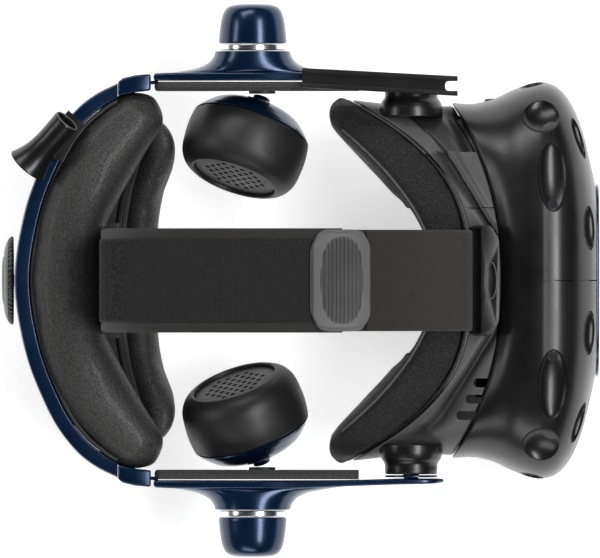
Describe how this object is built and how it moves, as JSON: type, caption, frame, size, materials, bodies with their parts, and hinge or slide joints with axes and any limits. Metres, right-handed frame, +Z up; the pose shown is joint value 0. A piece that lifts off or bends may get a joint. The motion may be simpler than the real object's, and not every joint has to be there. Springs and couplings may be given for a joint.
{
  "type": "vr headset",
  "caption": "Head-worn display with a tilting visor, side arms with round hubs, earcups, a padded rear band with a dial, and a top strap.",
  "frame": {"origin": "on the surface the headset rests on, under the middle of its bounding box", "axes": "+X forward through the visor, +Y to the wearer's left, +Z up"},
  "size_m": [0.291, 0.269, 0.185],
  "materials": {
    "black_satin_plastic": "satin",
    "black_plastic": "satin",
    "dark_grey_plastic": "satin",
    "dark_blue_plastic": "satin",
    "textured_black_plastic": "matte",
    "camera_glass": "gloss",
    "lens_glass": "gloss",
    "circuit_board": "matte",
    "black_velour_foam": "matte",
    "grey_rubber": "matte",
    "grey_arm_pad": "matte",
    "grey_leatherette": "matte",
    "brown_black_webbing": "matte",
    "bright_ring": "gloss"
  },
  "bodies": {
    "arms": {"arm_left": "dark_blue_plastic", "arm_right": "dark_blue_plastic", "arm_pad_left": "grey_arm_pad", "arm_pad_right": "grey_arm_pad", "hub_ring_left": "bright_ring", "hub_ring_right": "bright_ring", "hub_cap_left": "dark_blue_plastic", "hub_cap_right": "dark_blue_plastic", "tilt_washer_left": "dark_blue_plastic", "tilt_washer_right": "dark_blue_plastic", "cable_channel": "black_satin_plastic", "strap_lower": "brown_black_webbing", "strap_upper": "brown_black_webbing", "pull_tab": "grey_rubber"},
    "visor": {"carriage": "dark_grey_plastic", "gasket_frame": "black_plastic", "face_cushion": "black_velour_foam", "nose_gasket": "grey_rubber", "strap_bracket": "black_satin_plastic", "tilt_hub_left": "black_satin_plastic", "tilt_hub_right": "black_satin_plastic"},
    "front": {"visor_shell": "black_satin_plastic", "front_plate": "dark_blue_plastic", "front_camera_left": "camera_glass", "front_camera_right": "camera_glass", "optics_bezel": "black_plastic", "main_board": "circuit_board"},
    "lens_unit_left": {"lens_left": "lens_glass", "lens_barrel_left": "black_plastic", "display_panel_left": "camera_glass"},
    "lens_unit_right": {"lens_right": "lens_glass", "lens_barrel_right": "black_plastic", "display_panel_right": "camera_glass"},
    "ipd_knob": {"ipd_knob": "dark_blue_plastic"},
    "system_button": {"system_button": "black_plastic"},
    "eye_relief_button": {"eye_relief_button": "black_plastic"},
    "rear": {"rear_band": "dark_blue_plastic", "rear_frame": "black_plastic", "band_sleeve_left": "dark_blue_plastic", "band_sleeve_right": "dark_blue_plastic", "upper_cushion": "grey_leatherette", "lower_cushion": "grey_leatherette", "lower_carrier": "black_plastic", "cable_clip": "black_satin_plastic"},
    "dial": {"fit_dial": "black_satin_plastic", "dial_pinion": "black_plastic"},
    "rack_left": {"adjustment_rack_left": "black_plastic"},
    "rack_right": {"adjustment_rack_right": "black_plastic"},
    "hanger_left": {"earcup_hanger_left": "black_plastic"},
    "hanger_right": {"earcup_hanger_right": "black_plastic"},
    "earcup_left": {"earcup_cap_left": "dark_blue_plastic", "earcup_drum_left": "textured_black_plastic", "earcup_grille_left": "textured_black_plastic", "speaker_driver_left": "circuit_board"},
    "earcup_right": {"earcup_cap_right": "dark_blue_plastic", "earcup_drum_right": "textured_black_plastic", "earcup_grille_right": "textured_black_plastic", "speaker_driver_right": "circuit_board"},
    "volume_rocker": {"volume_rocker": "black_plastic"},
    "microphone_button": {"microphone_button": "black_plastic"}
  },
  "joints": [
    {"name": "visor_tilt", "type": "hinge", "parent": "arms", "child": "visor", "pos_m": [0.054, 0, 0.084], "axis": [0, -1, 0], "range_deg": [-5, 20], "deforming": ["strap_upper", "pull_tab"]},
    {"name": "eye_relief", "type": "slide", "parent": "visor", "child": "front", "axis": [1, 0, 0], "range_m": [0, 0.008]},
    {"name": "ipd_turn", "type": "hinge", "parent": "front", "child": "ipd_knob", "pos_m": [0.0925, -0.0924, 0.04], "axis": [0, 1, 0], "range_deg": [-130, 130]},
    {"name": "lens_left_slide", "type": "slide", "parent": "front", "child": "lens_unit_left", "axis": [0, 1, 0], "range_m": [-0.0031, 0.0031]},
    {"name": "lens_right_slide", "type": "slide", "parent": "front", "child": "lens_unit_right", "axis": [0, -1, 0], "range_m": [-0.0031, 0.0031]},
    {"name": "system_press", "type": "slide", "parent": "front", "child": "system_button", "axis": [0, -1, 0], "range_m": [0, 0.001], "stiffness_N_per_m": 600},
    {"name": "eye_relief_press", "type": "slide", "parent": "front", "child": "eye_relief_button", "axis": [0, 0, 1], "range_m": [0, 0.0016], "stiffness_N_per_m": 600},
    {"name": "rear_slide", "type": "slide", "parent": "arms", "child": "rear", "axis": [-1, 0, 0], "range_m": [0, 0.009], "deforming": ["strap_lower"]},
    {"name": "dial_turn", "type": "hinge", "parent": "rear", "child": "dial", "pos_m": [-0.1396, 0, 0.05], "axis": [-1, 0, 0], "range_deg": [0, 75]},
    {"name": "rack_left_slide", "type": "slide", "parent": "rear", "child": "rack_left", "axis": [0, 1, 0], "range_m": [0, 0.0092]},
    {"name": "rack_right_slide", "type": "slide", "parent": "rear", "child": "rack_right", "axis": [0, -1, 0], "range_m": [0, 0.0092]},
    {"name": "earcup_height_left", "type": "slide", "parent": "arms", "child": "hanger_left", "axis": [0, 0, 1], "range_m": [-0.01, 0.008]},
    {"name": "earcup_tilt_left", "type": "hinge", "parent": "hanger_left", "child": "earcup_left", "pos_m": [-0.01844, 0.08934, 0.04846], "axis": [0.9455, -0.3256, 0], "range_deg": [-3, 14]},
    {"name": "earcup_height_right", "type": "slide", "parent": "arms", "child": "hanger_right", "axis": [0, 0, 1], "range_m": [-0.01, 0.008]},
    {"name": "earcup_tilt_right", "type": "hinge", "parent": "hanger_right", "child": "earcup_right", "pos_m": [-0.01844, -0.08934, 0.04846], "axis": [-0.9455, -0.3256, 0], "range_deg": [-3, 14]},
    {"name": "volume_press", "type": "slide", "parent": "earcup_left", "child": "volume_rocker", "axis": [0.6045, 0.0647, 0.794], "range_m": [0, 0.0008], "stiffness_N_per_m": 600},
    {"name": "microphone_press", "type": "slide", "parent": "earcup_right", "child": "microphone_button", "axis": [0.6045, -0.0647, 0.794], "range_m": [0, 0.0008], "stiffness_N_per_m": 600}
  ],
  "couplings": [
    {"joint": "ipd_turn", "follows": "lens_left_slide", "rad_per_m": 675},
    {"joint": "lens_right_slide", "follows": "lens_left_slide", "ratio": 1},
    {"joint": "dial_turn", "follows": "rear_slide", "rad_per_m": 142.86},
    {"joint": "rack_left_slide", "follows": "rear_slide", "ratio": 1},
    {"joint": "rack_right_slide", "follows": "rear_slide", "ratio": 1}
  ]
}
